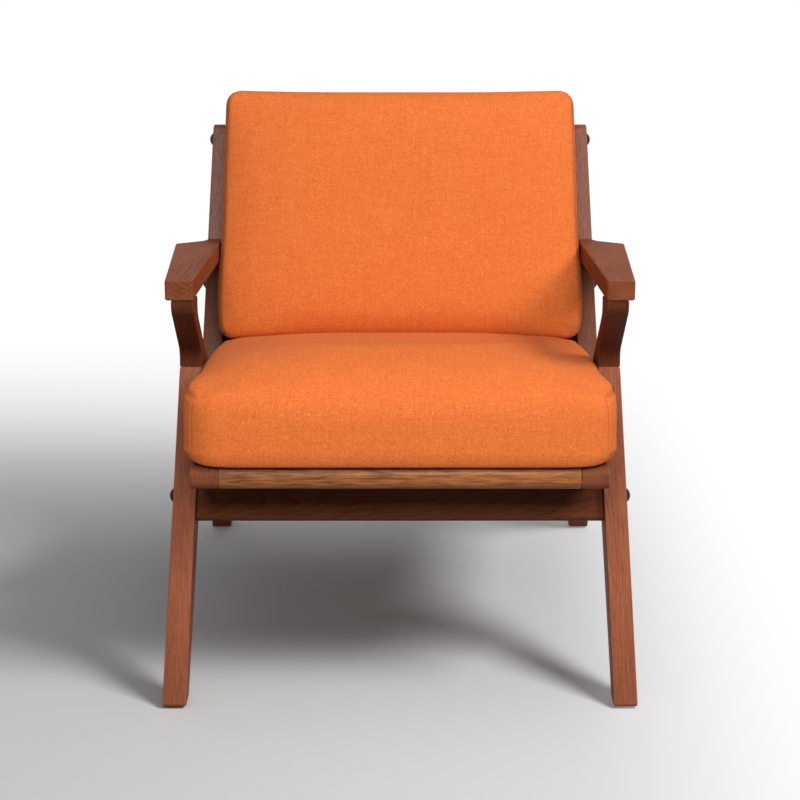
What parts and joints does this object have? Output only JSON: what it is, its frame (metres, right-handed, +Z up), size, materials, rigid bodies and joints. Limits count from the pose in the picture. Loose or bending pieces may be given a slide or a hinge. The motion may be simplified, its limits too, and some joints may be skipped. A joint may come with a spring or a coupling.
{
  "type": "fireside chair",
  "caption": "Open-arm fireside lounge chair: a leaning wooden frame with paddle arms and a slatted back, and loose upholstered seat and back cushions.",
  "frame": {"origin": "on the floor, under the middle of the chair's bounding box", "axes": "+Z up, +X to the right of a person looking at the front of the chair, -Y out of the front"},
  "size_m": [0.7204, 0.7115, 0.8028],
  "materials": {
    "stained_wood": "satin",
    "nose_wood": "satin",
    "bolt_cap": "satin",
    "dowel_wood": "matte",
    "orange_fabric": "matte",
    "webbing": "matte",
    "steel": "satin",
    "glide": "satin"
  },
  "bodies": {
    "frame": {"left_front_leg": "stained_wood", "left_arm_support": "stained_wood", "left_armrest": "stained_wood", "left_back_post": "stained_wood", "left_side_rail": "stained_wood", "left_elbow_dowel_1": "dowel_wood", "left_elbow_dowel_2": "dowel_wood", "left_apron_bolt": "steel", "left_apron_bolt_cap": "bolt_cap", "left_stretcher_bolt": "steel", "left_stretcher_bolt_cap": "bolt_cap", "left_lower_back_bolt": "steel", "left_lower_back_bolt_cap": "bolt_cap", "left_upper_back_bolt": "steel", "left_upper_back_bolt_cap": "bolt_cap", "left_front_glide": "glide", "left_rear_glide": "glide", "right_front_leg": "stained_wood", "right_arm_support": "stained_wood", "right_armrest": "stained_wood", "right_back_post": "stained_wood", "right_side_rail": "stained_wood", "right_elbow_dowel_1": "dowel_wood", "right_elbow_dowel_2": "dowel_wood", "right_apron_bolt": "steel", "right_apron_bolt_cap": "bolt_cap", "right_stretcher_bolt": "steel", "right_stretcher_bolt_cap": "bolt_cap", "right_lower_back_bolt": "steel", "right_lower_back_bolt_cap": "bolt_cap", "right_upper_back_bolt": "steel", "right_upper_back_bolt_cap": "bolt_cap", "right_front_glide": "glide", "right_rear_glide": "glide", "front_apron": "stained_wood", "rear_stretcher": "stained_wood", "right_seat_rail": "stained_wood", "left_seat_rail": "stained_wood", "seat_nose_rail": "nose_wood", "seat_rear_rail": "stained_wood", "seat_strap_1": "webbing", "seat_strap_2": "webbing", "seat_strap_3": "webbing", "seat_strap_4": "webbing", "seat_strap_5": "webbing", "seat_strap_6": "webbing", "left_front_seat_screw": "steel", "right_front_seat_screw": "steel", "left_rear_seat_screw": "steel", "right_rear_seat_screw": "steel", "right_back_stile": "stained_wood", "left_back_stile": "stained_wood", "back_bottom_rail": "stained_wood", "back_top_rail": "stained_wood", "back_slat_1": "stained_wood", "back_slat_2": "stained_wood", "back_slat_3": "stained_wood"},
    "seat_cushion": {"seat_cushion": "orange_fabric"},
    "back_cushion": {"back_cushion": "orange_fabric"}
  },
  "joints": [
    {"name": "seat_cushion_slides_out", "type": "slide", "parent": "frame", "child": "seat_cushion", "axis": [0, -0.989, 0.1478], "range_m": [0, 0.6]},
    {"name": "back_cushion_lifts_off", "type": "slide", "parent": "frame", "child": "back_cushion", "axis": [0, 0, 1], "range_m": [0, 0.5]}
  ]
}
